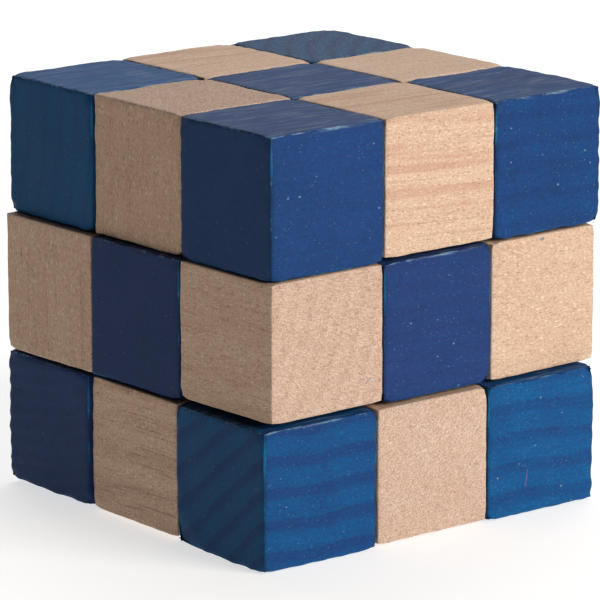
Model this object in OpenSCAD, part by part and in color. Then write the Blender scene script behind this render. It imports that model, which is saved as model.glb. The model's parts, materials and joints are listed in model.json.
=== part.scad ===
// Snake puzzle: 27 wooden cubelets threaded on one elastic cord, folded into a 3 x 3 x 3 cube.
// The origin is at the bottom, in the middle of the whole cube seen from above. +Z is up and the
// sides of the middle layer face X and Y. The cord leaves each cubelet through a face and enters
// the next one, so neighbours on the cord can be pulled apart and twisted against each other.

/* [Cubelets] */
// Side of one wooden cubelet
cubelet_side = 19.8; // [15:0.1:40]
// Radius of the rounding along the edges of a cubelet
edge_radius = 0.6; // [0.2:0.1:2]

/* [Gaps] */
// Gap between two cubelets in one layer
cubelet_gap = 0.2; // [0.1:0.05:1]
// Gap between one layer and the next
layer_gap = 0.35; // [0.2:0.05:1]

/* [Lie of the layers] */
// Turn of the bottom layer about the cord that joins it to the middle layer
bottom_turn = -1.5; // [-3:0.1:3]
// Sideways slip of the bottom layer along X, within the slack of the bores
bottom_slip_x = -0.1; // [-0.5:0.05:0.5]
// Sideways slip of the bottom layer along Y
bottom_slip_y = -0.3; // [-0.5:0.05:0.5]
// Turn of the top layer about the cord that joins it to the middle layer
top_turn = -0.85; // [-3:0.05:3]
// Sideways slip of the top layer along X
top_slip_x = 0.45; // [-0.5:0.05:0.5]
// Sideways slip of the top layer along Y
top_slip_y = -0.25; // [-0.5:0.05:0.5]

/* [Elastic cord] */
// Diameter of the stretched elastic cord
cord_d = 1.8; // [1.2:0.1:2.4]
// Clearance between the cord and a bore, on the diameter
bore_clearance = 2; // [1.6:0.1:2.6]
// Radius of the cord's centre line where it turns a corner inside a cubelet
bend_radius = 3; // [2:0.5:4]
// Break between two lengths of cord where they meet inside a cubelet
cord_break = 0.1; // [0.05:0.05:0.5]

/* [Cord ends] */
// Diameter of the knot at each end of the cord
knot_d = 5.4; // [5:0.1:6]
// Diameter of the wooden plug that closes the pocket over a knot
plug_d = 6.4; // [5.8:0.1:8]
// Length of the plug
plug_length = 2; // [1:0.1:2.5]
// Depth of the plug's face below the face of its cubelet
plug_recess = 0.2; // [0:0.05:0.5]
// Clearance between a knot and the wood round it
knot_clearance = 0.1; // [0.05:0.05:0.3]

/* [Hidden] */
$fn = 64;
cubelets_per_row = 3;
cubelets_per_layer = cubelets_per_row * cubelets_per_row;
cubelet_count = cubelets_per_layer * cubelets_per_row;
cubelet_pitch = cubelet_side + cubelet_gap;
layer_pitch = cubelet_side + layer_gap;
half_side = cubelet_side / 2;
layer_half = cubelet_pitch + half_side;
layer_turns = [bottom_turn, 0, top_turn];
layer_slips = [[bottom_slip_x, bottom_slip_y], [0, 0], [top_slip_x, top_slip_y]];
// Each outer layer turns about the column where the cord passes to the middle layer
layer_pivots = [[-cubelet_pitch, cubelet_pitch], [0, 0], [cubelet_pitch, -cubelet_pitch]];
bore_d = cord_d + bore_clearance;
// The knot sits on the rim of the bore, at the floor of its pocket
knot_seat = sqrt(pow(knot_d / 2 + knot_clearance, 2) - pow(bore_d / 2, 2));
pocket_depth = plug_recess + plug_length + knot_clearance + knot_d / 2 + knot_seat;
knot_from_centre = half_side - pocket_depth + knot_seat;
stained_blue = [0.10, 0.22, 0.48];
pale_wood = [0.87, 0.73, 0.58];
plug_wood = [0.78, 0.62, 0.44];
cord_black = [0.12, 0.12, 0.13];

// Where the middle of each layer lies, and how far the layer reaches from there along X and Y
function turned(point, angle) =
    [point.x * cos(angle) - point.y * sin(angle), point.x * sin(angle) + point.y * cos(angle)];
layer_middles = [for (k = [0:2]) layer_pivots[k] + layer_slips[k] - turned(layer_pivots[k], layer_turns[k])];
layer_reaches = [for (turn = layer_turns)
    (layer_half - edge_radius) * (cos(turn) + abs(sin(turn))) + edge_radius];
function middle_of_all(axis) =
    let (low = min([for (k = [0:2]) layer_middles[k][axis] - layer_reaches[k]]))
    let (high = max([for (k = [0:2]) layer_middles[k][axis] + layer_reaches[k]]))
    (low + high) / 2;

// The path of the cord. It fills the bottom layer in columns along Y, from the corner at
// high X and low Y to the opposite corner, comes back the same way through the middle
// layer, and goes again as in the bottom layer through the top one.
function layer_of(n) = floor((n - 1) / cubelets_per_layer);
function step_in_layer(n) =
    let (step = (n - 1) % cubelets_per_layer)
    layer_of(n) % 2 == 0 ? step : cubelets_per_layer - 1 - step;
function column_of(n) = floor(step_in_layer(n) / cubelets_per_row);
function row_of(n) =
    let (step = step_in_layer(n) % cubelets_per_row)
    column_of(n) % 2 == 0 ? step : cubelets_per_row - 1 - step;
function cell(n) = [cubelets_per_row - 1 - column_of(n), row_of(n), layer_of(n)];
function is_blue(n) = (cell(n).x + cell(n).y + cell(n).z) % 2 == 0;

// Directions along the cord from cubelet n, to the cubelet before it and to the one after.
// The first cubelet's cord ends at a pocket in its +X face, and the last one's goes straight
// on to a pocket in its outer face.
function toward_next(n) = n == cubelet_count ? -toward_last(n) : cell(n + 1) - cell(n);
function toward_last(n) = n == 1 ? [1, 0, 0] : cell(n - 1) - cell(n);
function is_corner(n) = toward_next(n) + toward_last(n) != [0, 0, 0];
function bend_of(n) = is_corner(n) ? bend_radius : 0;
function pitch_after(n) = layer_of(n + 1) == layer_of(n) ? cubelet_pitch : layer_pitch;

// The joints at which the cubelets beyond can be twisted as well as pulled: the two between
// layers, and the two that let the columns of the top layer swing up
TWIST_AFTER = [for (n = [1:cubelet_count - 1])
    if (layer_of(n + 1) != layer_of(n) || (layer_of(n) == 2 && column_of(n + 1) != column_of(n))) n];
function twists_after(n) = len(search(n, TWIST_AFTER)) > 0;

function two_digits(n) = str(n < 10 ? "0" : "", n);
function cubelet_name(n) = str("cubelet_", two_digits(n));
function cord_name(n) = str("cord_", two_digits(n), "_", two_digits(n + 1));
function bend_name(n) = str("cord_bend_", two_digits(n));

// Places its children, made about the centre of a cubelet, at cubelet n: its layer is turned
// about its pivot and slipped sideways, and the whole cube is centred on the origin
module at_cubelet(n) {
    layer = layer_of(n);
    pivot = layer_pivots[layer];
    slip = layer_slips[layer];
    place = [(cell(n).x - 1) * cubelet_pitch, (cell(n).y - 1) * cubelet_pitch, half_side];
    translate([
        pivot.x + slip.x - middle_of_all(0),
        pivot.y + slip.y - middle_of_all(1),
        layer * layer_pitch
    ])
        rotate([0, 0, layer_turns[layer]])
            translate(place - [pivot.x, pivot.y, 0])
                children();
}

// Turns its children, made along +Z, to point along an axis direction
module toward(direction) {
    rotate([direction.z < 0 ? 180 : -90 * direction.y, 90 * direction.x, 0])
        children();
}

module rounded_square(side, radius) {
    square([side - 2 * radius, side], center = true);
    square([side, side - 2 * radius], center = true);
    for (x = [-1, 1], y = [-1, 1])
        translate([x * (side / 2 - radius), y * (side / 2 - radius)])
            circle(r = radius);
}

// A square bar with rounded edges along an axis direction
module rounded_bar(direction) {
    toward(direction)
        linear_extrude(height = cubelet_side, center = true)
            rounded_square(cubelet_side, edge_radius);
}

// A plain cubelet: each of its twelve edges is rounded by one of three crossing bars
module blank() {
    intersection() {
        rounded_bar([1, 0, 0]);
        rounded_bar([0, 1, 0]);
        rounded_bar([0, 0, 1]);
    }
}

// A bore from the centre of a cubelet out through one face
module bore(direction) {
    toward(direction)
        cylinder(d = bore_d, h = half_side + 1);
}

// The pocket for a knot and its plug, sunk into the outer face of an end cubelet
module pocket(direction) {
    toward(direction)
        translate([0, 0, half_side - pocket_depth])
            cylinder(d = plug_d, h = pocket_depth + 1);
}

module cubelet(n) {
    color(is_blue(n) ? stained_blue : pale_wood)
        at_cubelet(n)
            difference() {
                blank();
                bore(toward_last(n));
                bore(toward_next(n));
                if (is_corner(n))
                    sphere(d = bore_d);
                if (n == 1)
                    pocket(toward_last(n));
                if (n == cubelet_count)
                    pocket(toward_next(n));
            }
}

// The quarter turn that the cord makes inside a corner cubelet
module bend(from, to) {
    across = cross(from, to);
    multmatrix([
        [from.x, to.x, across.x, 0],
        [from.y, to.y, across.y, 0],
        [from.z, to.z, across.z, 0],
        [0, 0, 0, 1]
    ])
        translate([bend_radius, bend_radius, 0])
            rotate([0, 0, 180])
                rotate_extrude(angle = 90)
                    translate([bend_radius, 0])
                        circle(d = cord_d);
}

// A straight length of cord from cubelet n to the next, from turn to turn
module straight_cord(n) {
    start = bend_of(n) + (is_corner(n) ? 0 : cord_break / 2);
    length = pitch_after(n) - start - bend_of(n + 1) - cord_break;
    toward(toward_next(n))
        translate([0, 0, start])
            cylinder(d = cord_d, h = length);
}

// A knot, and the cord from it to the first turn or to the centre of the cubelet
module knotted_end(direction, reach) {
    toward(direction) {
        translate([0, 0, knot_from_centre])
            sphere(d = knot_d);
        translate([0, 0, reach])
            cylinder(d = cord_d, h = knot_from_centre - reach);
    }
}

// The length of cord that belongs to cubelet n and reaches into the next cubelet
module cord(n) {
    color(cord_black)
        at_cubelet(n)
            union() {
                straight_cord(n);
                if (is_corner(n) && !twists_after(n))
                    bend(toward_last(n), toward_next(n));
                if (n == 1)
                    knotted_end(toward_last(n), bend_radius);
            }
}

// The turn of the cord inside a cubelet that has a twisting joint after it
module cord_bend(n) {
    color(cord_black)
        at_cubelet(n)
            intersection() {
                bend(toward_last(n), toward_next(n));
                toward(toward_next(n))
                    cylinder(r = cubelet_side, h = 2 * (bend_radius - cord_break), center = true);
            }
}

// The far end of the cord, from the centre of the last cubelet to its knot
module cord_end() {
    color(cord_black)
        at_cubelet(cubelet_count)
            knotted_end(toward_next(cubelet_count), cord_break / 2);
}

// The plug over a knot
module plug(n, direction) {
    color(plug_wood)
        at_cubelet(n)
            toward(direction)
                translate([0, 0, half_side - plug_recess - plug_length])
                    cylinder(d = plug_d, h = plug_length);
}

for (n = [1:cubelet_count])
    cubelet(n);
for (n = [1:cubelet_count - 1])
    cord(n);
for (n = TWIST_AFTER)
    cord_bend(n);
cord_end();
plug(1, toward_last(1));  // first_plug
plug(cubelet_count, toward_next(cubelet_count));  // last_plug
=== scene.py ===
"""A snake puzzle folded into a cube: 27 wooden cubelets, stained and bare by turns, on one elastic cord."""

import math

import bpy
import numpy as np
from mathutils import Matrix, Vector
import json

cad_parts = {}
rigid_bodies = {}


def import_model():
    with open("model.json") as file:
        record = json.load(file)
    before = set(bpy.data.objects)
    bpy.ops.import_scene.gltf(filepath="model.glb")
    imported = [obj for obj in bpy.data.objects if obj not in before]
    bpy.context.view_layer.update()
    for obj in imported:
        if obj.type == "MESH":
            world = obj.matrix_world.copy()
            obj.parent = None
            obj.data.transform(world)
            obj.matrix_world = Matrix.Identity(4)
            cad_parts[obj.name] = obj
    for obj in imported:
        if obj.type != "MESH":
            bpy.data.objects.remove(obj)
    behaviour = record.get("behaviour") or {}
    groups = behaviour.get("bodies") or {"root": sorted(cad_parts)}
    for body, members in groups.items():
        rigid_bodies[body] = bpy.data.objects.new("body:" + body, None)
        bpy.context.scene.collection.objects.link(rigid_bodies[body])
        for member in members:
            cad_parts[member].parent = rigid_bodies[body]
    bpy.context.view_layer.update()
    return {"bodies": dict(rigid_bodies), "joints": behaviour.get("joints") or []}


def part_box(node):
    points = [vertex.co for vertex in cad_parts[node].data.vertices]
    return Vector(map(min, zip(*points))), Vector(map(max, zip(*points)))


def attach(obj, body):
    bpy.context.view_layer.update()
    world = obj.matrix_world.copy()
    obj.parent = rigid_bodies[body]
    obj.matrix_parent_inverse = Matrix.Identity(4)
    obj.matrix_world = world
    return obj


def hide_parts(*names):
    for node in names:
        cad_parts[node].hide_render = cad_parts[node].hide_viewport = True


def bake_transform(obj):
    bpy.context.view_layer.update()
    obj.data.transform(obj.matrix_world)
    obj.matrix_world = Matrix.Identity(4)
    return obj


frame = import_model()


# ---- Table, lamps and camera ----
# The cube stands on a plain white table top. A broad lamp stands in front of it to the right, a larger one
# hangs behind it, and a white wall beyond throws light back. The camera looks down on one upright corner.

bpy.context.scene.view_settings.view_transform = "Standard"
room = bpy.data.worlds.new("white_walls")
room.use_nodes = True
room.node_tree.nodes["Background"].inputs["Color"].default_value = (1.0, 0.99, 0.98, 1)
room.node_tree.nodes["Background"].inputs["Strength"].default_value = 0.02
bpy.context.scene.world = room


def deselect_all():
    for thing in bpy.context.selected_objects:
        thing.select_set(False)


def facing(place, target):
    """Turn that points the -Z axis of a lamp or a camera at a target, with its top upwards."""
    return (Vector(target) - Vector(place)).to_track_quat("-Z", "Y").to_euler()


deselect_all()
just_below_cube = -0.0001
bpy.ops.mesh.primitive_plane_add(size=8, location=(0, 0, just_below_cube))
table_top = bpy.context.object
table_top.name = "table_top"
white_top = bpy.data.materials.new("white_table_top")
white_top.use_nodes = True
table_shader = white_top.node_tree.nodes["Principled BSDF"]
table_shader.inputs["Base Color"].default_value = (0.5, 0.5, 0.5, 1)
table_shader.inputs["Roughness"].default_value = 0.9
table_shader.inputs["Specular IOR Level"].default_value = 0.1
table_shader.inputs["Emission Color"].default_value = (1, 1, 1, 1)
table_shader.inputs["Emission Strength"].default_value = 0.65
table_top.data.materials.append(white_top)

cube_middle = (0, 0, 0.03)
for lamp_name, place, width, height, power, tint in [
    ("key_lamp", (0.28, -0.85, 0.42), 0.5, 0.5, 9.4, (1.0, 0.96, 0.90)),
    ("top_lamp", (0.4, 0.45, 0.85), 0.9, 0.9, 6.6, (1.0, 1.0, 1.0)),
    ("white_wall", (0.7, 0.85, 0.35), 1.7, 0.8, 1.5, (1.0, 1.0, 1.0)),
]:
    bpy.ops.object.light_add(type="AREA", location=place, rotation=facing(place, cube_middle))
    lamp = bpy.context.object
    lamp.name = lamp_name
    lamp.data.shape = "RECTANGLE"
    lamp.data.size = width
    lamp.data.size_y = height
    lamp.data.energy = power
    lamp.data.color = tint

camera_place = (-0.3816, -0.4527, 0.17058)
camera_target = (-0.00013, 0.00002, 0.02808)
bpy.ops.object.camera_add(location=camera_place, rotation=facing(camera_place, camera_target))
camera = bpy.context.object
camera.data.sensor_width = 36
camera.data.lens = 254.5
camera.data.clip_start = 0.05
camera.data.clip_end = 20
bpy.context.scene.camera = camera


# ---- Blank cubelets ----
# Each cubelet is a cube sawn from square stick, tumbled so that its edges are rounded, and drilled from
# two faces for the cord. The two end ones also have a wider pocket for the knot and its plug.

mm = 0.001
cubelet_count = 27
side = (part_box("cubelet_13")[1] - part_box("cubelet_13")[0]).x
half = side / 2
edge_rounding = 0.26 * mm
edge_steps = 3
cuts_along_side = 40
bore_radius = 1.9 * mm
mouth_wider = 0.25 * mm
mouth_depth = 0.25 * mm
bore_overlap = -0.5 * mm
elbow_radius = 1.93 * mm
pocket_radius = 3.2 * mm
pocket_floor = half - 7.0 * mm
around_bore = 40


def select_only(thing):
    deselect_all()
    thing.select_set(True)
    bpy.context.view_layer.objects.active = thing


def select_parts(thing, parts, wanted):
    """In edit mode, selects only the parts, "verts", "edges" or "faces", that the test `wanted` picks."""
    bpy.ops.mesh.select_all(action="DESELECT")
    bpy.ops.mesh.select_mode(type={"verts": "VERT", "edges": "EDGE", "faces": "FACE"}[parts])
    bpy.ops.object.mode_set(mode="OBJECT")
    mesh = thing.data
    every = {"verts": mesh.vertices, "edges": mesh.edges, "faces": mesh.polygons}[parts]
    every.foreach_set("select", [bool(wanted(part)) for part in every])
    bpy.ops.object.mode_set(mode="EDIT")


def edge_length(mesh, edge):
    first, second = edge.vertices
    return (mesh.vertices[first].co - mesh.vertices[second].co).length


def drill(direction, radius, floor):
    """A cutter in the shape of a drilled hole, from `floor` out through the face, with a broken rim."""
    depth = half - mouth_depth - floor
    widening = (radius + mouth_wider) / radius
    deselect_all()
    bpy.ops.mesh.primitive_cylinder_add(vertices=around_bore, radius=radius, depth=depth)
    cutter = bpy.context.object
    bpy.ops.object.mode_set(mode="EDIT")
    bpy.ops.transform.translate(value=(0, 0, floor + depth / 2))
    select_parts(cutter, "faces", lambda face: face.normal.z > 0.9)
    bpy.ops.mesh.extrude_region_move(TRANSFORM_OT_translate={"value": (0, 0, mouth_depth)})
    bpy.ops.transform.resize(value=(widening, widening, 1))
    bpy.ops.mesh.extrude_region_move(TRANSFORM_OT_translate={"value": (0, 0, 1 * mm)})
    bpy.ops.object.mode_set(mode="OBJECT")
    cutter.data.transform(Vector((0, 0, 1)).rotation_difference(Vector(direction)).to_matrix().to_4x4())
    return cutter


def cut_away(block, cutter):
    """Cuts the cutter's shape out of the block, and throws the cutter away."""
    select_only(block)
    cut = block.modifiers.new("hole", "BOOLEAN")
    cut.operation = "DIFFERENCE"
    cut.solver = "EXACT"
    cut.object = cutter
    bpy.ops.object.modifier_apply(modifier=cut.name)
    bpy.data.objects.remove(cutter)


deselect_all()
bpy.ops.mesh.primitive_cube_add(size=side)
plain_block = bpy.context.object
plain_block.name = "plain_block"
bpy.ops.object.mode_set(mode="EDIT")
bpy.ops.mesh.bevel(offset=edge_rounding, segments=edge_steps, profile=0.5, affect="EDGES")
select_parts(plain_block, "edges", lambda edge: edge_length(plain_block.data, edge) > half)
bpy.ops.mesh.subdivide(number_cuts=cuts_along_side)
bpy.ops.object.mode_set(mode="OBJECT")
bpy.ops.object.shade_smooth_by_angle(angle=math.radians(50))

blocks = {"plain": plain_block}
for kind, holes in {
    "straight": [((1, 0, 0), bore_overlap, bore_radius), ((-1, 0, 0), bore_overlap, bore_radius)],
    "corner": [((1, 0, 0), 0.0, bore_radius), ((0, 1, 0), 0.0, bore_radius)],
    "corner_end": [
        ((1, 0, 0), 0.0, bore_radius),
        ((0, 1, 0), 0.0, bore_radius),
        ((1, 0, 0), pocket_floor, pocket_radius),
    ],
    "straight_end": [
        ((1, 0, 0), bore_overlap, bore_radius),
        ((-1, 0, 0), bore_overlap, bore_radius),
        ((1, 0, 0), pocket_floor, pocket_radius),
    ],
}.items():
    select_only(plain_block)
    bpy.ops.object.duplicate()
    block = bpy.context.object
    block.name = kind + "_block"
    for direction, floor, radius in holes:
        cut_away(block, drill(direction, radius, floor))
    if kind.startswith("corner"):
        bpy.ops.mesh.primitive_uv_sphere_add(segments=around_bore, ring_count=20, radius=elbow_radius)
        cut_away(block, bpy.context.object)
    blocks[kind] = block


# ---- Placing the cubelets ----
# The cord runs in through one face of a cubelet and out through another. The pull joints point along it,
# so they say which faces are drilled and how far each layer is turned.

joint_axis = {joint["name"]: Vector(joint["axis"]) for joint in frame["joints"]}


def node_middle(node):
    low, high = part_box(node)
    return (low + high) / 2


def cubelet_name(number):
    return f"cubelet_{number:02d}"


def out_along_cord(number, step):
    """Direction of the cord where it leaves a cubelet towards the next one (1) or the one before (-1)."""
    if number == 1 and step == -1:
        return (node_middle("first_plug") - node_middle("cubelet_01")).normalized()
    if number == cubelet_count and step == 1:
        return (node_middle("last_plug") - node_middle("cubelet_27")).normalized()
    first, second = sorted((number, number + step))
    return step * joint_axis[f"pull_{first:02d}_{second:02d}"]


def layer_turn(number):
    """Turn about +Z of the layer that holds a cubelet, from the first cord in it that lies level."""
    first_in_layer = (number - 1) // 9 * 9 + 1
    axis = joint_axis[f"pull_{first_in_layer:02d}_{first_in_layer + 1:02d}"]
    angle = math.atan2(axis.y, axis.x)
    quarter = math.pi / 2
    return angle - round(angle / quarter) * quarter


def square_to(direction, turn):
    """The direction, out of the turned layer, as one of the six directions square to the faces."""
    level = Matrix.Rotation(-turn, 3, "Z") @ direction
    return Vector([float(round(value)) for value in level])


def drilled_cubelet(number):
    """A copy of the right block, turned so that its holes point along the cord, about its own middle."""
    turn = layer_turn(number)
    before = square_to(out_along_cord(number, -1), turn)
    after = square_to(out_along_cord(number, 1), turn)
    is_corner = abs(before.dot(after)) < 0.5
    is_end = number in (1, cubelet_count)
    block = blocks[("corner" if is_corner else "straight") + ("_end" if is_end else "")]
    first = before if number == 1 or not is_end else after
    second = after if is_corner and first == before else before
    if not is_corner:
        second = Vector((first.y, first.z, first.x))
    third = first.cross(second)
    mesh = block.data.copy()
    columns = Matrix((first, second, third)).transposed()
    mesh.transform(columns.to_4x4())
    return mesh


# ---- Wood ----
# A cubelet shows the growth rings of the tree it was sawn from: hard late wood stands up in ridges where
# tumbling has worn the soft early wood away. Each one knows where in its tree it lay.

ring_width = 4 * mm
ring_jitter = 0.6 * mm
full_turn = 2 * math.pi


class Wire:
    """The output of a shader node. Arithmetic on wires adds Math nodes."""

    def __init__(self, finish, socket):
        self.finish = finish
        self.socket = socket

    def maths(self, operation, *values):
        return self.finish.node("Math", dict(enumerate(values)), operation=operation)

    def __add__(self, other):
        return self.maths("ADD", self, other)

    __radd__ = __add__

    def __sub__(self, other):
        return self.maths("SUBTRACT", self, other)

    def __rsub__(self, other):
        return self.maths("SUBTRACT", other, self)

    def __mul__(self, other):
        return self.maths("MULTIPLY", self, other)

    __rmul__ = __mul__

    def __truediv__(self, other):
        return self.maths("DIVIDE", self, other)

    def __pow__(self, other):
        return self.maths("POWER", self, other)

    def __abs__(self):
        return self.maths("ABSOLUTE", self)

    def __gt__(self, other):
        return self.maths("GREATER_THAN", self, other)

    def __lt__(self, other):
        return self.maths("LESS_THAN", self, other)


class Finish:
    """A material, built up node by node."""

    def __init__(self, name):
        self.material = bpy.data.materials.new(name)
        self.material.use_nodes = True
        self.tree = self.material.node_tree
        self.tree.nodes.clear()

    def node(self, kind, inputs=None, output=0, stops=None, **settings):
        """Adds a node. Its settings are set first, then the values or wires of its inputs."""
        made = self.tree.nodes.new("ShaderNode" + kind)
        for setting, value in settings.items():
            setattr(made, setting, value)
        if stops:
            ramp = made.color_ramp.elements
            while len(ramp) < len(stops):
                ramp.new(0.5)
            for element, (position, colour) in zip(ramp, stops):
                element.position = position
                element.color = (*colour, 1)
        for name, value in (inputs or {}).items():
            if isinstance(value, Wire):
                self.tree.links.new(value.socket, made.inputs[name])
            else:
                made.inputs[name].default_value = value
        return Wire(self, made.outputs[output]) if made.outputs else None

    def place(self, name):
        """The three numbers of a place that each cubelet's mesh carries."""
        return self.node("Attribute", output="Vector", attribute_name=name)

    def number(self, name):
        """The one number that each point of a cubelet's mesh carries."""
        return self.node("Attribute", output="Fac", attribute_name=name)

    def rings(self, scales):
        """How far a place is late wood, with the rings made a little ragged by a noise of these scales."""
        tree = self.place("tree")
        ring_place = self.node("VectorMath", {0: tree, 3: self.number("ring_scale")}, operation="SCALE")
        return late_wood(*self.split(self.jittered(ring_place, scales, ring_jitter)))

    def on_mark(self, taper, softness):
        """How far a place is on the cubelet's small mark, 0 to 1."""
        along, aside, off = self.split(self.place("mark"))
        past_end = larger(abs(along) - 1, 0) * taper
        return rise(1 - root(past_end ** 2 + aside ** 2 + off ** 2), 0.0, softness)

    def split(self, vector):
        return [self.node("SeparateXYZ", {"Vector": vector}, output=axis) for axis in "XYZ"]

    def stretched(self, vector, scales):
        return self.node("VectorMath", {0: vector, 1: scales}, operation="MULTIPLY")

    def noise(self, vector, scales, detail=2.0, roughness=0.5):
        """Smooth random values about 0.5. The scales are how many times it changes in a metre, each way."""
        spread = self.stretched(vector, scales)
        sizes = {"Vector": spread, "Scale": 1.0, "Detail": detail, "Roughness": roughness}
        return self.node("TexNoise", sizes, output="Fac")

    def jittered(self, vector, scales, reach):
        """The same places, each pushed a little in a random direction."""
        push = self.node("TexNoise", {"Vector": self.stretched(vector, scales), "Scale": 1.0}, output="Color")
        centred = self.node("VectorMath", {0: push, 1: (0.5, 0.5, 0.5)}, operation="SUBTRACT")
        moved = self.stretched(centred, (reach, reach, reach))
        return self.node("VectorMath", {0: vector, 1: moved}, operation="ADD")

    def cells(self, vector, scales):
        """Distance from the nearest of many scattered points, and a random number for that point."""
        spread = self.stretched(vector, scales)
        sizes = {"Vector": spread, "Scale": 1.0}
        distance = self.node("TexVoronoi", sizes, output="Distance")
        colour = self.node("TexVoronoi", sizes, output="Color")
        return distance, self.split(colour)[0]

    def blend(self, factor, first, second, blend_type="MIX"):
        ways = {0: factor, 6: first, 7: second}
        return self.node("Mix", ways, output=2, data_type="RGBA", blend_type=blend_type)

    def ramp(self, value, stops):
        return self.node("ValToRGB", {0: value}, stops=stops)


def sine(value):
    return value.maths("SINE", value) if isinstance(value, Wire) else np.sin(value)


def root(value):
    return value.maths("SQRT", value) if isinstance(value, Wire) else np.sqrt(value)


def larger(first, second):
    return first.maths("MAXIMUM", first, second) if isinstance(first, Wire) else np.maximum(first, second)


def smaller(first, second):
    return first.maths("MINIMUM", first, second) if isinstance(first, Wire) else np.minimum(first, second)


def rise(value, low, high):
    """0 below `low`, 1 above `high`, and a smooth climb in between."""
    if isinstance(value, Wire):
        limits = {0: value, 1: low, 2: high}
        return value.finish.node("MapRange", limits, interpolation_type="SMOOTHSTEP")
    share = np.clip((value - low) / (high - low), 0, 1)
    return share * share * (3 - 2 * share)


def late_wood(along, across, deep):
    """How far a place in the tree is late wood, 0 to 1: a slow climb across each ring, and a quick fall."""
    wander = 0.28 * mm * sine(along * (full_turn / (17 * mm)) + across * (full_turn / (23 * mm)))
    ripple = 0.16 * mm * sine(across * (full_turn / (9 * mm)) + along * (full_turn / (41 * mm)))
    radius = root(across * across + deep * deep) + wander + ripple
    turn = radius * (full_turn / ring_width)
    return (0.5 + 0.5 * sine(turn - 0.65 * sine(turn))) ** 1.4


def near_edge(x, y, z):
    """How close a place on the faces is to an edge: the middle one of its three distances from the middle."""
    first, second, third = abs(x), abs(y), abs(z)
    return larger(smaller(first, second), smaller(larger(first, second), third))


def unevenness(places, wave, seed, waves=9):
    """Smooth random ups and downs, about -1 to 1, with hollows about half a wave across."""
    draw = np.random.default_rng(seed)
    total = np.zeros(len(places))
    for _ in range(waves):
        direction = draw.normal(size=3)
        direction *= full_turn / wave * draw.uniform(0.7, 1.4) / np.linalg.norm(direction)
        total += np.sin(places @ direction + draw.uniform(0, full_turn))
    return total / math.sqrt(waves / 2) / 1.6


def places_of(mesh):
    places = np.empty(len(mesh.vertices) * 3)
    mesh.vertices.foreach_get("co", places)
    return places.reshape(-1, 3)


# Most pieces have no mark, so theirs lies too far away to show.
far_off_mark = ((0, 0, 100), (1, 0, 0), 1, 1)
steepest_fibres = 0.06
slanting = (0.36, 0.48, 0.8)


def grow(mesh, places, fibre, heart, heart_angle, rings, start, tone, mark=far_off_mark):
    """Lays a piece out in its tree, writes that on its mesh, and gives how far each point is late wood.
    `fibre` is the axis, 0 to 2, that the fibres follow. The heart of the tree lies `heart` millimetres away,
    at `heart_angle` degrees in the plane across the fibres. The rings are `rings` millimetres apart.
    `start` is how far up the tree the piece lay. `tone` is three numbers that the finish reads. A mark is the
    middle of a scratch, its direction, and half its length and half its width, in millimetres."""
    across_axis, deep_axis = (fibre + 1) % 3, (fibre + 2) % 3
    draw = np.random.default_rng(round(start * 1000))
    slope = draw.uniform(-steepest_fibres, steepest_fibres, size=2)
    along = places[:, fibre]
    across = places[:, across_axis] + slope[0] * along - heart * mm * math.cos(math.radians(heart_angle))
    deep = places[:, deep_axis] + slope[1] * along - heart * mm * math.sin(math.radians(heart_angle))
    tree = np.stack([along + start, across, deep], axis=1)
    ring_scale = np.full(len(places), ring_width / (rings * mm))
    end = np.abs(along).max()
    end_grain = rise(np.abs(along), end - 0.5 * mm, end - 0.2 * mm)
    mark_middle, mark_line, mark_length, mark_width = mark
    mark_line = np.array(mark_line) / np.linalg.norm(mark_line)
    mark_side = np.cross(mark_line, slanting)
    mark_side /= np.linalg.norm(mark_side)
    from_mark = places / mm - np.array(mark_middle)
    on_mark = np.stack(
        [
            from_mark @ mark_line / mark_length,
            from_mark @ mark_side / mark_width,
            from_mark @ np.cross(mark_line, mark_side) / mark_width,
        ],
        axis=1,
    )
    tones = np.tile(tone, (len(places), 1))
    for name, values in {"tree": tree, "cubelet": places, "tone": tones, "mark": on_mark}.items():
        attribute = mesh.attributes.new(name, "FLOAT_VECTOR", "POINT")
        attribute.data.foreach_set("vector", values.astype(np.float32).ravel())
    for name, values in {"ring_scale": ring_scale, "end_grain": end_grain}.items():
        attribute = mesh.attributes.new(name, "FLOAT", "POINT")
        attribute.data.foreach_set("value", values.astype(np.float32))
    return late_wood(*(tree.T * ring_scale))


def settle(name, mesh, finish, body, node):
    """Makes a finished mesh a piece in place of its node. It rides on its body, unless that is None."""
    mesh.materials.clear()
    mesh.materials.append(finish.material)
    piece = bpy.data.objects.new(name, mesh)
    bpy.context.scene.collection.objects.link(piece)
    if body:
        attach(piece, body)
    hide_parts(node)
    return piece


step_up_tree = 53 * mm
waviness = 0.035 * mm
highest_ridge = 0.05 * mm


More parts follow.
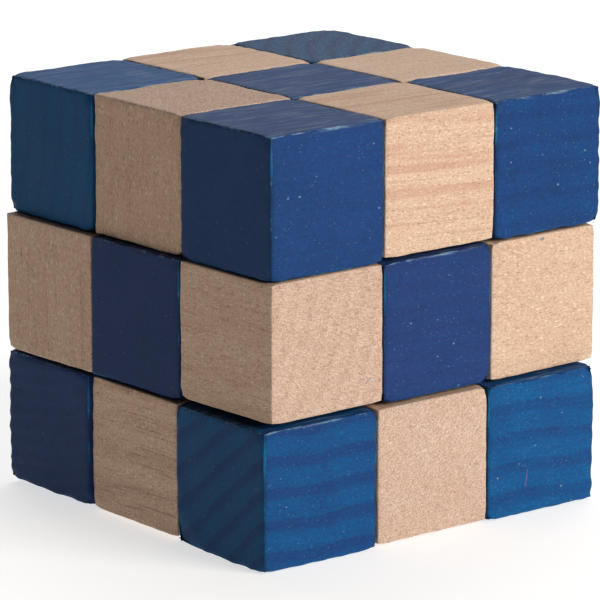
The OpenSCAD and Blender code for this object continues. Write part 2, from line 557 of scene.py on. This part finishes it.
def finish_cubelet(number, finish, slot, fibre, heart, heart_angle, rings, relief, wear, tone, extras):
    """Carves one cubelet, puts it in its place and joins it to its link. `relief` is the depth of the early
    wood, and `wear` that of the rubbed edges, in millimetres. The extras are "mark", a scratch; "trims", each
    a direction and how many millimetres longer it was sawn towards it than in the drawing; and "hollows",
    each a direction, how far out along it the wear starts, in halves of the side, and its depth."""
    mesh = drilled_cubelet(number)
    places = places_of(mesh)
    mark = extras.get("mark", far_off_mark)
    late = grow(mesh, places, fibre, heart, heart_angle, rings, number * step_up_tree, tone, mark)
    inner = np.clip(places, -(half - edge_rounding), half - edge_rounding)
    outward = places - inner
    outward /= np.maximum(np.linalg.norm(outward, axis=1, keepdims=True), 1e-9)
    is_skin = rise(np.abs(places).max(axis=1), half - 0.45 * mm, half - 0.25 * mm)
    edge = rise(near_edge(*places.T), half - 0.6 * mm, half - 0.1 * mm)
    height = relief * mm * (late - 0.9) * (0.35 + 0.65 * edge)
    height += waviness * unevenness(places, 11 * mm, number)
    nibbled = np.clip(0.45 + 0.6 * unevenness(places, 5.5 * mm, 200 + number), 0, 1.3)
    frayed = 0.6 * unevenness(places, 2.3 * mm, 300 + number)
    height -= wear * mm * edge * (nibbled + frayed)
    corner = rise(np.abs(places).min(axis=1), half - 1.8 * mm, half - 0.2 * mm)
    corner_wear = (0.1 + 2.5 * wear) * mm
    height -= corner_wear * corner * (1 + 0.7 * unevenness(places, 9 * mm, 400 + number))
    for direction, start, depth in extras.get("hollows", []):
        reach = places @ np.array(direction) / half
        height -= depth * mm * rise(reach, start, sum(abs(value) for value in direction))
    height = np.minimum(height, highest_ridge)
    carved = places + outward * (height * is_skin)[:, None]
    for direction, longer in extras.get("trims", []):
        direction = np.array(direction)
        carved += longer * mm * rise(carved @ direction, 0.5 * half, half)[:, None] * direction
    mesh.vertices.foreach_set("co", carved.astype(np.float32).ravel())
    node = cubelet_name(number)
    mesh.transform(Matrix.Translation(node_middle(node)) @ Matrix.Rotation(layer_turn(number), 4, "Z"))
    settle("carved_" + node, mesh, finish, f"link_{number:02d}", node)


# ---- Stained cubelets ----
# Fourteen cubelets are softwood, soaked in a deep blue stain. It lies darker on the hard late wood and on
# the end grain, is rubbed to a brighter blue along the edges, and is finely scratched on the top faces.

stain = Finish("blue_stain")
tree_place = stain.place("tree")
cubelet_place = stain.place("cubelet")
lightness, redness, sharpness = stain.split(stain.place("tone"))
end_grain = stain.number("end_grain")
late = stain.rings((900, 1900, 1900))
fibres = stain.noise(tree_place, (1900, 3400, 3400), detail=3.0, roughness=0.7)
streaks = stain.noise(tree_place, (50, 1300, 1300), detail=2.0)
blotches = stain.noise(tree_place, (170, 170, 170), detail=3.0, roughness=0.55)
local_x, local_y, local_z = stain.split(cubelet_place)
closeness = near_edge(local_x, local_y, local_z)
ragged = stain.noise(tree_place, (1300, 2200, 2200), detail=2.0)
rubbed = stain.noise(cubelet_place, (140, 140, 140), detail=2.0)
reach = closeness + (ragged - 0.5) * (0.35 * mm) + (rubbed - 0.55) * (1.3 * mm)
worn = rise(reach, half - 0.24 * mm, half - 0.04 * mm)
on_top = rise(local_z, half - 0.5 * mm, half - 0.2 * mm)
depth = (
    0.56
    + lightness
    - sharpness * (rise(late, 0.25, 0.8) - 0.35)
    + 0.75 * (fibres - 0.5)
    + 0.16 * (streaks - 0.5)
    + 0.22 * (blotches - 0.5)
)
stain_colour = stain.ramp(
    depth,
    [
        (0.0, (0.005, 0.012, 0.045)),
        (0.35, (0.009, 0.031, 0.115)),
        (0.6, (0.009, 0.049, 0.172)),
        (0.8, (0.005, 0.076, 0.225)),
        (1.0, (0.008, 0.120, 0.310)),
    ],
)
stain_colour = stain.blend(redness * blotches, stain_colour, (0.05, 0.022, 0.12, 1))
stain_colour = stain.blend(end_grain, stain_colour, (1.0, 0.88, 0.72, 1), blend_type="MULTIPLY")
stain_colour = stain.blend(worn * 0.75, stain_colour, (0.010, 0.150, 0.300, 1))
stain_colour = stain.blend(worn * on_top * ragged * 0.7, stain_colour, (0.32, 0.38, 0.44, 1))
speck_distance, speck_draw = stain.cells(tree_place, (1000, 1500, 1500))
specks = speck_distance < (speck_draw - 0.90 + 0.25 * worn) * 2.2
stain_colour = stain.blend(specks * (0.55 - 0.35 * end_grain), stain_colour, (0.20, 0.34, 0.46, 1))
dust_distance, dust_draw = stain.cells(tree_place, (2600, 2900, 2900))
dust = (dust_distance < 0.30) * (dust_draw > 0.93 - 0.2 * worn)
stain_colour = stain.blend(dust * (0.16 - 0.12 * end_grain), stain_colour, (0.30, 0.36, 0.44, 1))
scratches = rise(stain.noise(tree_place, (130, 2000, 2000), detail=3.0, roughness=0.7), 0.49, 0.66)
stain_colour = stain.blend(scratches * on_top * 0.28, stain_colour, (0.34, 0.38, 0.44, 1))
red_fibre = stain.on_mark(4, 0.6) * ragged
stain_colour = stain.blend(red_fibre * 0.9, stain_colour, (0.30, 0.10, 0.14, 1))
stain_height = 0.9 * fibres + 0.12 * streaks + 0.4 * late * sharpness
stain_bump = stain.node("Bump", {"Strength": 0.6, "Distance": 0.10 * mm, "Height": stain_height})
stain_shader = stain.node(
    "BsdfPrincipled",
    {
        "Base Color": stain_colour,
        "Roughness": 0.50 + 0.25 * (fibres - 0.5),
        "Specular IOR Level": 0.07,
        "Normal": stain_bump,
    },
)
stain.node("OutputMaterial", {"Surface": stain_shader})

low_corner = ((-1, 1, -1), 2.3, 0.5)
# The number, then fibre, heart, heart_angle, rings, relief, wear, tone and extras. The three numbers of the
# tone are lightness, redness and sharpness.
for number, *growth, extras in [
    (1, 0, 65, 262, 4.3, 0.06, 0.10, (0.20, 0.0, 0.12), {
        "mark": ((-2.6, -9.9, -4.6), (0.15, 0, 1), 1.1, 0.12),
        "hollows": [((0, -1, 1), 1.3, 0.2)],
        "trims": [((1, 0, 0), 0.25)],
    }),
    (3, 0, 60, 80, 4.0, 0.07, 0.10, (0.05, 0.0, 0.12), {}),
    (5, 0, 50, 200, 3.6, 0.07, 0.10, (0.05, 0.0, 0.12), {}),
    (7, 0, 110, 232, 3.7, 0.08, 0.09, (0.12, 0.0, 0.16), {"hollows": [low_corner]}),
    (9, 0, 62, 80, 2.3, 0.13, 0.08, (-0.06, 0.25, 0.0), {"trims": [((-1, 0, 0), 0.25), ((0, 0, -1), -0.6)]}),
    (11, 0, 45, 30, 2.6, 0.02, 0.05, (-0.08, 0.3, 0.0), {"trims": [((0, 0, 1), 0.1), ((0, 0, -1), 0.1)]}),
    (13, 0, 60, 262, 3.4, 0.03, 0.07, (-0.03, 0.3, 0.04), {}),
    (15, 1, 55, 10, 3.0, 0.05, 0.08, (0.0, 0.0, 0.12), {}),
    (17, 0, 48, 80, 3.4, 0.06, 0.08, (0.0, 0.0, 0.12), {}),
    (19, 0, 42, 255, 3.9, 0.06, 0.12, (-0.01, 0.0, 0.06), {"trims": [((1, 0, 0), 0.1)]}),
    (21, 2, 45, 315, 3.2, 0.08, 0.10, (0.22, 0.35, 0.18), {}),
    (23, 0, 60, 20, 2.4, 0.04, 0.09, (0.0, 0.1, 0.06), {"mark": ((8.6, -0.5, 9.9), (1, 0.3, 0), 0.2, 0.3)}),
    (25, 0, 58, 85, 2.0, 0.02, 0.07, (-0.02, 0.1, 0.0), {"trims": [((0, 0, -1), 0.15)]}),
    (27, 0, 52, 8, 3.8, 0.05, 0.09, (0.18, 0.05, 0.05), {"trims": [((0, 0, -1), 0.12)]}),
]:
    finish_cubelet(number, stain, "stained_wood", *growth, extras)


# ---- Bare cubelets ----
# Thirteen cubelets are a pale, fine-grained hardwood, left bare. They stay smoother than the stained ones,
# with thin darker lines, fine pores and rays in the end grain. Their edges are painted paler: a painted edge
# highlight, with a little pale fuzz.

bare = Finish("bare_hardwood")
tree_place = bare.place("tree")
cubelet_place = bare.place("cubelet")
lightness, redness, streakiness = bare.split(bare.place("tone"))
end_grain = bare.number("end_grain")
along, across, deep = bare.split(tree_place)
radius = root(across * across + deep * deep)
heart_distance = 60 * mm
round_heart = bare.node("Math", {0: deep, 1: across}, operation="ARCTAN2") * heart_distance
ray_place = bare.node("CombineXYZ", {0: radius, 1: round_heart, 2: along})
late = bare.rings((300, 1500, 1500))
rays = bare.noise(ray_place, (1100, 4300, 1100), detail=2.0, roughness=0.6)
speckle = bare.noise(tree_place, (3000, 4600, 4600), detail=2.0, roughness=0.7)
lines = bare.noise(tree_place, (22, 2600, 2600), detail=2.0, roughness=0.6)
dark_lines = rise(0.44 - lines, 0.0, 0.14)
streaks = bare.noise(tree_place, (14, 420, 420), detail=3.0, roughness=0.6)
blotches = bare.noise(tree_place, (90, 130, 130), detail=3.0)
closeness = near_edge(*bare.split(cubelet_place))
pore_distance, pore_draw = bare.cells(tree_place, (1100, 3600, 3600))
pores = rise(0.45 - pore_distance, 0.0, 0.2) * (pore_draw > 0.72)
flecks = rise(0.45 - pore_distance, 0.0, 0.2) * (pore_draw < 0.22)
depth = (
    0.68
    + lightness
    + 0.95 * (speckle - 0.5)
    + 0.70 * (rays - 0.5) * end_grain
    - 0.34 * dark_lines * streakiness
    + 0.26 * (streaks - 0.5) * streakiness
    - 0.12 * late * streakiness
    + 0.14 * (blotches - 0.5)
    - 0.20 * pores
    + 0.22 * flecks
)
bare_colour = bare.ramp(
    depth,
    [
        (0.0, (0.20, 0.100, 0.055)),
        (0.35, (0.39, 0.235, 0.155)),
        (0.65, (0.56, 0.373, 0.258)),
        (1.0, (0.74, 0.572, 0.448)),
    ],
)
bare_colour = bare.blend(end_grain, bare_colour, (0.98, 1.025, 1.125, 1), blend_type="MULTIPLY")
red_band = redness * rise(streaks - 0.47, 0.0, 0.14)
bare_colour = bare.blend(red_band, bare_colour, (0.42, 0.20, 0.12, 1))
# Every edge is painted paler: a painted highlight along the rounded edges, with a little pale fuzz.
rim = rise(closeness + (speckle - 0.5) * (0.6 * mm), half - 0.24 * mm, half - 0.02 * mm)
bare_colour = bare.blend(rim * 0.4, bare_colour, (0.78, 0.64, 0.53, 1))
blue_mark = bare.on_mark(3, 0.5) * speckle
bare_colour = bare.blend(blue_mark * 1.3, bare_colour, (0.06, 0.16, 0.27, 1))
bare_height = 0.7 * speckle - 0.35 * pores - 0.15 * dark_lines
bare_bump = bare.node("Bump", {"Strength": 0.5, "Distance": 0.10 * mm, "Height": bare_height})
bare_shader = bare.node(
    "BsdfPrincipled",
    {
        "Base Color": bare_colour,
        "Roughness": 0.68 + 0.2 * (speckle - 0.5),
        "Specular IOR Level": 0.3,
        "Normal": bare_bump,
    },
)
bare.node("OutputMaterial", {"Surface": bare_shader})

# The number, then fibre, heart, heart_angle, rings, relief, wear, tone and extras, as for the stained ones.
# The three numbers of the tone are lightness, redness and streakiness.
# The low lightness of 8, 10, 12 and 26 is painted shade: it darkens the whole cubelet so that its left face,
# turned away from the lamps, looks shaded.
for number, *growth, extras in [
    (2, 0, 70, 80, 3.0, 0.02, 0.05, (0.0, 0.0, 0.4), {}),
    (4, 0, 70, 200, 3.0, 0.02, 0.05, (0.0, 0.0, 0.4), {}),
    (6, 1, 42, 235, 2.6, 0.02, 0.05, (-0.04, 0.1, 0.2), {"trims": [((0, 0, -1), -0.4)]}),
    (8, 1, 60, 130, 2.8, 0.03, 0.05, (-0.05, 0.0, 0.8), {"trims": [((0, 0, -1), -0.5), ((-1, 0, 0), -0.25)]}),
    (10, 2, 60, 20, 3.4, 0.02, 0.03, (-0.11, 0.0, 0.35), {"trims": [((0, 0, 1), 0.1), ((0, 0, -1), 0.1)]}),
    (12, 1, 38, 289, 3.0, 0.02, 0.03, (-0.07, 0.0, 0.5), {
        "mark": ((7.2, -9.9, -6.0), (1, 0, 0.8), 0.55, 0.13),
        "trims": [((0, 0, 1), 0.1), ((0, 0, -1), -0.5)],
    }),
    (14, 1, 60, 50, 3.0, 0.02, 0.05, (0.0, 0.0, 0.4), {}),
    (16, 1, 60, 90, 3.0, 0.02, 0.05, (0.0, 0.0, 0.4), {}),
    (18, 0, 75, 85, 3.2, 0.02, 0.04, (0.0, 0.0, 0.15), {"mark": ((-0.4, -9.9, 9.2), (1, 0, 0.1), 0.3, 0.26)}),
    (20, 0, 75, 30, 3.0, 0.02, 0.05, (0.06, 0.0, 0.2), {}),
    (22, 0, 60, 10, 3.0, 0.02, 0.06, (0.05, 0.4, 0.4), {}),
    (24, 0, 64, 75, 3.4, 0.02, 0.04, (0.04, 0.4, 0.3), {"trims": [((0, 0, -1), -0.35)]}),
    (26, 2, 60, 60, 3.0, 0.02, 0.06, (-0.17, 0.0, 0.2), {
        "mark": ((3.0, 7.3, 9.9), (1, -0.3, 0), 0.4, 0.25),
        "trims": [((0, 0, -1), 0.12), ((-1, 0, 0), -0.35)],
    }),
]:
    finish_cubelet(number, bare, "natural_wood", *growth, extras)

for block in blocks.values():
    bpy.data.objects.remove(block)


# ---- Elastic cord ----
# One round elastic runs through all the cubelets and pulls them together: rubber strands in a black braided
# sheath. It turns a corner inside most cubelets, and stretches where two of them are pulled apart.

cord_radius = 0.9 * mm
braid_depth = 0.07 * mm
bend_radius = 3 * mm
cord_break = 0.02 * mm
yarns = 8
yarn_rise = 1.5 * mm
around_cord = 24
cord_step = 0.22 * mm
steps_round_bend = 24
first_sideways = (0.31, 0.52, 0.79)
twisting_after = [n for n in range(1, cubelet_count) if f"strand_{n:02d}" in frame["bodies"]]


def braid(angle, along):
    """Height of the braided sheath, 0 to 1: two sets of yarns wind opposite ways, over and under."""
    right = (angle * yarns / 2 + along * (full_turn / yarn_rise)) * 0.5
    left = (angle * yarns / 2 - along * (full_turn / yarn_rise)) * 0.5
    over = 0.78 + 0.22 * sine(right * 2)
    under = 0.78 - 0.22 * sine(left * 2)
    return larger(abs(sine(right)) * under, abs(sine(left)) * over)


sheath = Finish("black_braided_sheath")
round_x, round_y, run = sheath.split(sheath.place("sheath"))
angle = sheath.node("Math", {0: round_y, 1: round_x}, operation="ARCTAN2")
yarn_height = braid(angle, run)
lint = sheath.noise(sheath.place("sheath"), (5000, 5000, 2500), detail=2.0)
# The sheath is painted darker where the yarns dip under each other: painted shade between the yarns. The lint
# adds a real mottle.
sheath_colour = sheath.ramp(
    yarn_height * 0.8 + (lint - 0.5) * 0.5,
    [(0.15, (0.004, 0.004, 0.005)), (0.6, (0.016, 0.016, 0.018)), (1.0, (0.05, 0.05, 0.054))],
)
sheath_height = yarn_height + 0.5 * lint
sheath_bump = sheath.node("Bump", {"Strength": 0.5, "Distance": 0.05 * mm, "Height": sheath_height})
sheath_shader = sheath.node(
    "BsdfPrincipled",
    {"Base Color": sheath_colour, "Roughness": 0.62 + 0.3 * (lint - 0.5), "Normal": sheath_bump},
)
sheath.node("OutputMaterial", {"Surface": sheath_shader})


def along_route(rows, run_at, run):
    """Rows of three numbers, known at the distances `run_at` along a route, read off at `run`."""
    rows = np.array(rows)
    return np.stack([np.interp(run, run_at, rows[:, axis]) for axis in range(3)], axis=1)


def braided_tube(route, radius):
    """A tube of braid along a route of close points, closed at both ends."""
    route = np.array([list(point) for point in route])
    steps = np.linalg.norm(np.diff(route, axis=0), axis=1)
    run_at = np.concatenate([[0], np.cumsum(steps)])
    length = run_at[-1]
    deselect_all()
    bpy.ops.mesh.primitive_cylinder_add(
        vertices=around_cord, radius=radius, depth=length, location=(0, 0, length / 2), end_fill_type="TRIFAN"
    )
    tube = bpy.context.object
    bpy.ops.object.transform_apply(location=True, rotation=False, scale=False)
    bpy.ops.object.mode_set(mode="EDIT")
    select_parts(tube, "edges", lambda edge: edge_length(tube.data, edge) > length * 0.99)
    bpy.ops.mesh.subdivide(number_cuts=max(2, round(length / cord_step)))
    bpy.ops.object.mode_set(mode="OBJECT")
    bpy.ops.object.shade_smooth_by_angle(angle=math.radians(60))
    mesh = tube.data
    places = places_of(mesh)
    run = np.clip(places[:, 2], 0, length)
    angle = np.arctan2(places[:, 1], places[:, 0])
    sunk = 1 - braid_depth / radius * (1 - braid(angle, run))
    rim = np.hypot(places[:, 0], places[:, 1]) > radius / 2
    attribute = mesh.attributes.new("sheath", "FLOAT_VECTOR", "POINT")
    attribute.data.foreach_set("vector", places.astype(np.float32).ravel())
    side_x, side_y = [], []
    ahead = np.gradient(route, axis=0)
    ahead /= np.linalg.norm(ahead, axis=1, keepdims=True)
    sideways = np.cross(ahead[0], first_sideways)
    for direction in ahead:
        sideways = sideways - direction * (sideways @ direction)
        sideways /= np.linalg.norm(sideways)
        side_x.append(sideways)
        side_y.append(np.cross(direction, sideways))
    pinch = np.where(rim, sunk, 1.0)[:, None]
    laid = along_route(route, run_at, run)
    laid += along_route(side_x, run_at, run) * places[:, :1] * pinch
    laid += along_route(side_y, run_at, run) * places[:, 1:2] * pinch
    mesh.vertices.foreach_set("co", laid.astype(np.float32).ravel())
    mesh.materials.clear()
    bpy.data.objects.remove(tube)
    return mesh


def straight_run(first, last):
    """Close points along a straight line."""
    count = max(3, round((last - first).length / cord_step))
    return [first.lerp(last, step / count) for step in range(count + 1)]


def turn_in(number):
    """Close points along the corner that the cord turns inside a cubelet."""
    centre = node_middle(cubelet_name(number))
    before, after = out_along_cord(number, -1), out_along_cord(number, 1)
    pivot = centre + (before + after) * bend_radius
    points = []
    for step in range(steps_round_bend + 1):
        share = math.pi / 2 * step / steps_round_bend
        points.append(pivot - (after * math.cos(share) + before * math.sin(share)) * bend_radius)
    return points


def turns_corner(number):
    return abs(out_along_cord(number, -1).dot(out_along_cord(number, 1))) < 0.5


knot_radius = 2.7 * mm


def knot_middle(node, number, step):
    """The knot sits at the outer end of its node, a knot's radius in."""
    out = out_along_cord(number, step)
    centre = node_middle(cubelet_name(number))
    furthest = max(corner.dot(out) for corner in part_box(node))
    return centre + out * (furthest - centre.dot(out) - knot_radius)


for number in range(1, cubelet_count):
    centre = node_middle(cubelet_name(number))
    next_centre = node_middle(cubelet_name(number + 1))
    out = out_along_cord(number, 1)
    leaves = centre + out * (bend_radius if turns_corner(number) else 0)
    arrives = next_centre - out * (bend_radius if turns_corner(number + 1) else 0)
    twists = number in twisting_after
    route = straight_run(leaves, arrives - out * cord_break)
    if turns_corner(number) and not twists:
        route = turn_in(number) + route[1:]
    if number == 1:
        before = out_along_cord(1, -1)
        route = straight_run(knot_middle("cord_01_02", 1, -1), route[0])[:-1] + route
    node = f"cord_{number:02d}_{number + 1:02d}"
    span = settle("elastic_" + node, braided_tube(route, cord_radius), sheath, None, node)
    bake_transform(span)

for number in twisting_after:
    node = f"cord_bend_{number:02d}"
    mesh = braided_tube(turn_in(number), cord_radius)
    settle("elastic_" + node, mesh, sheath, f"link_{number:02d}", node)

last_knot = knot_middle("cord_end", cubelet_count, 1)
last_centre = node_middle("cubelet_27")
last_run = straight_run(last_centre + out_along_cord(cubelet_count, 1) * cord_break, last_knot)
settle("elastic_cord_end", braided_tube(last_run, cord_radius), sheath, "link_27", "cord_end")


# ---- Knots ----
# Each end of the cord is tied in an overhand knot, which sits at the bottom of its pocket and can't slip
# back through the bore. A knot belongs to the node of its end of cord, so it takes no node's place.

knot_cord_radius = 0.8 * mm
knot_lobe = 0.62 * mm
knot_lift = 1.5 * mm
knot_begins = -0.5
knot_runs = 5.95
knot_steps = 120


def overhand_knot(seat, out):
    """Close points of an overhand knot pulled tight round `seat`, in three lobes."""
    across = out.orthogonal().normalized()
    aside = out.cross(across)
    points = []
    for step in range(knot_steps + 1):
        angle = knot_begins + knot_runs * step / knot_steps
        reach_x = math.sin(angle) + 2 * math.sin(2 * angle)
        reach_y = math.cos(angle) - 2 * math.cos(2 * angle)
        lift = -math.sin(3 * angle) * knot_lift
        points.append(seat + (across * reach_x + aside * reach_y) * knot_lobe + out * lift)
    return points


for name, node, number, step in [
    ("first_knot", "cord_01_02", 1, -1),
    ("last_knot", "cord_end", cubelet_count, 1),
]:
    out = out_along_cord(number, step)
    mesh = braided_tube(overhand_knot(knot_middle(node, number, step), out), knot_cord_radius)
    mesh.materials.append(sheath.material)
    knot = bpy.data.objects.new(name, mesh)
    bpy.context.scene.collection.objects.link(knot)
    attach(knot, f"link_{number:02d}")


# ---- Plugs ----
# A slice of hardwood dowel is pressed into the pocket over each knot. Its end grain shows, a little below
# the face of the cubelet.

plug_rim = 0.25 * mm
plug_shrink = 0.02 * mm
plug_sides = 72
face_rings = 9
face_ring_width = 0.3 * mm
plug_heart = 7
plug_ring_width = 1.6
early_wood_depth = 0.05 * mm
plug_tone = (-0.12, 0.0, 0.9)

for node, number, step in [("first_plug", 1, -1), ("last_plug", cubelet_count, 1)]:
    out = out_along_cord(number, step)
    low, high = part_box(node)
    length = min(high - low)
    deselect_all()
    radius = pocket_radius - plug_shrink
    bpy.ops.mesh.primitive_cylinder_add(vertices=plug_sides, radius=radius, depth=length)
    dowel = bpy.context.object
    bpy.ops.object.mode_set(mode="EDIT")
    select_parts(dowel, "edges", lambda edge: edge_length(dowel.data, edge) < length / 2)
    bpy.ops.mesh.bevel(offset=plug_rim, segments=3, profile=0.5, affect="EDGES")
    select_parts(dowel, "faces", lambda face: abs(face.normal.z) > 0.99)
    for _ in range(face_rings):
        bpy.ops.mesh.inset(thickness=face_ring_width)
    bpy.ops.object.mode_set(mode="OBJECT")
    bpy.ops.object.shade_smooth_by_angle(angle=math.radians(50))
    mesh = dowel.data
    places = places_of(mesh)
    heart_angle = 30 + 80 * step
    late = grow(mesh, places, 2, plug_heart, heart_angle, plug_ring_width, number * 31 * mm, plug_tone)
    end_face = rise(np.abs(places[:, 2]), length / 2 - 0.1 * mm, length / 2)
    places[:, 2] -= np.sign(places[:, 2]) * end_face * early_wood_depth * (1 - late)
    mesh.vertices.foreach_set("co", places.astype(np.float32).ravel())
    mesh.transform(Vector((0, 0, 1)).rotation_difference(out).to_matrix().to_4x4())
    mesh.transform(Matrix.Translation(node_middle(node)))
    bpy.data.objects.remove(dowel)
    settle("dowel_" + node, mesh, bare, f"link_{number:02d}", node)
